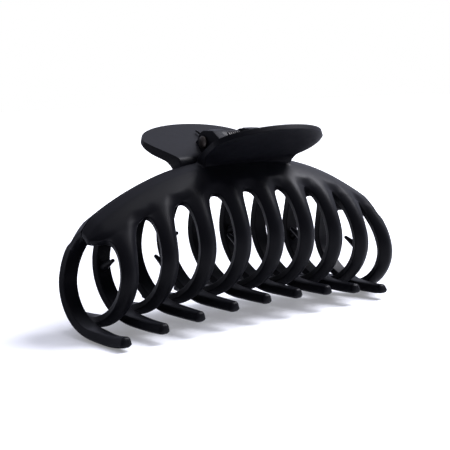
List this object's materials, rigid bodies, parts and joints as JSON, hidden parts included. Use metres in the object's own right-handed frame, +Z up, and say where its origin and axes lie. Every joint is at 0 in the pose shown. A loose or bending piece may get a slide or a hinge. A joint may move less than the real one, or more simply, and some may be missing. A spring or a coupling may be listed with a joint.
{
  "type": "claw clip",
  "caption": "Spring-hinged hair claw clip: two interlocking jaws of curved teeth with fan-shaped finger handles.",
  "frame": {"origin": "centre of the bounding box's underside, midway between the two end teeth that the closed clip stands on", "axes": "+X along the clip and its hinge, +Z up towards the handles, the front jaw bulging towards -Y and the rear jaw towards +Y"},
  "size_m": [0.1096, 0.047, 0.0573],
  "materials": {
    "jaw_plastic": "matt soft-touch black",
    "pin_steel": "dull plated",
    "spring_steel": "bright drawn wire"
  },
  "bodies": {
    "rear_jaw": {"rear_jaw": "jaw_plastic", "hinge_pin": "pin_steel", "torsion_spring": "spring_steel"},
    "front_jaw": {"front_jaw": "jaw_plastic"}
  },
  "joints": [
    {"name": "jaw_hinge", "type": "hinge", "parent": "rear_jaw", "child": "front_jaw", "pos_m": [0, 0, 0.0524], "axis": [-1, 0, 0], "range_deg": [0, 75], "stiffness_Nm_per_rad": 0.03, "springref_deg": -160.43, "deforming": ["torsion_spring"]}
  ]
}
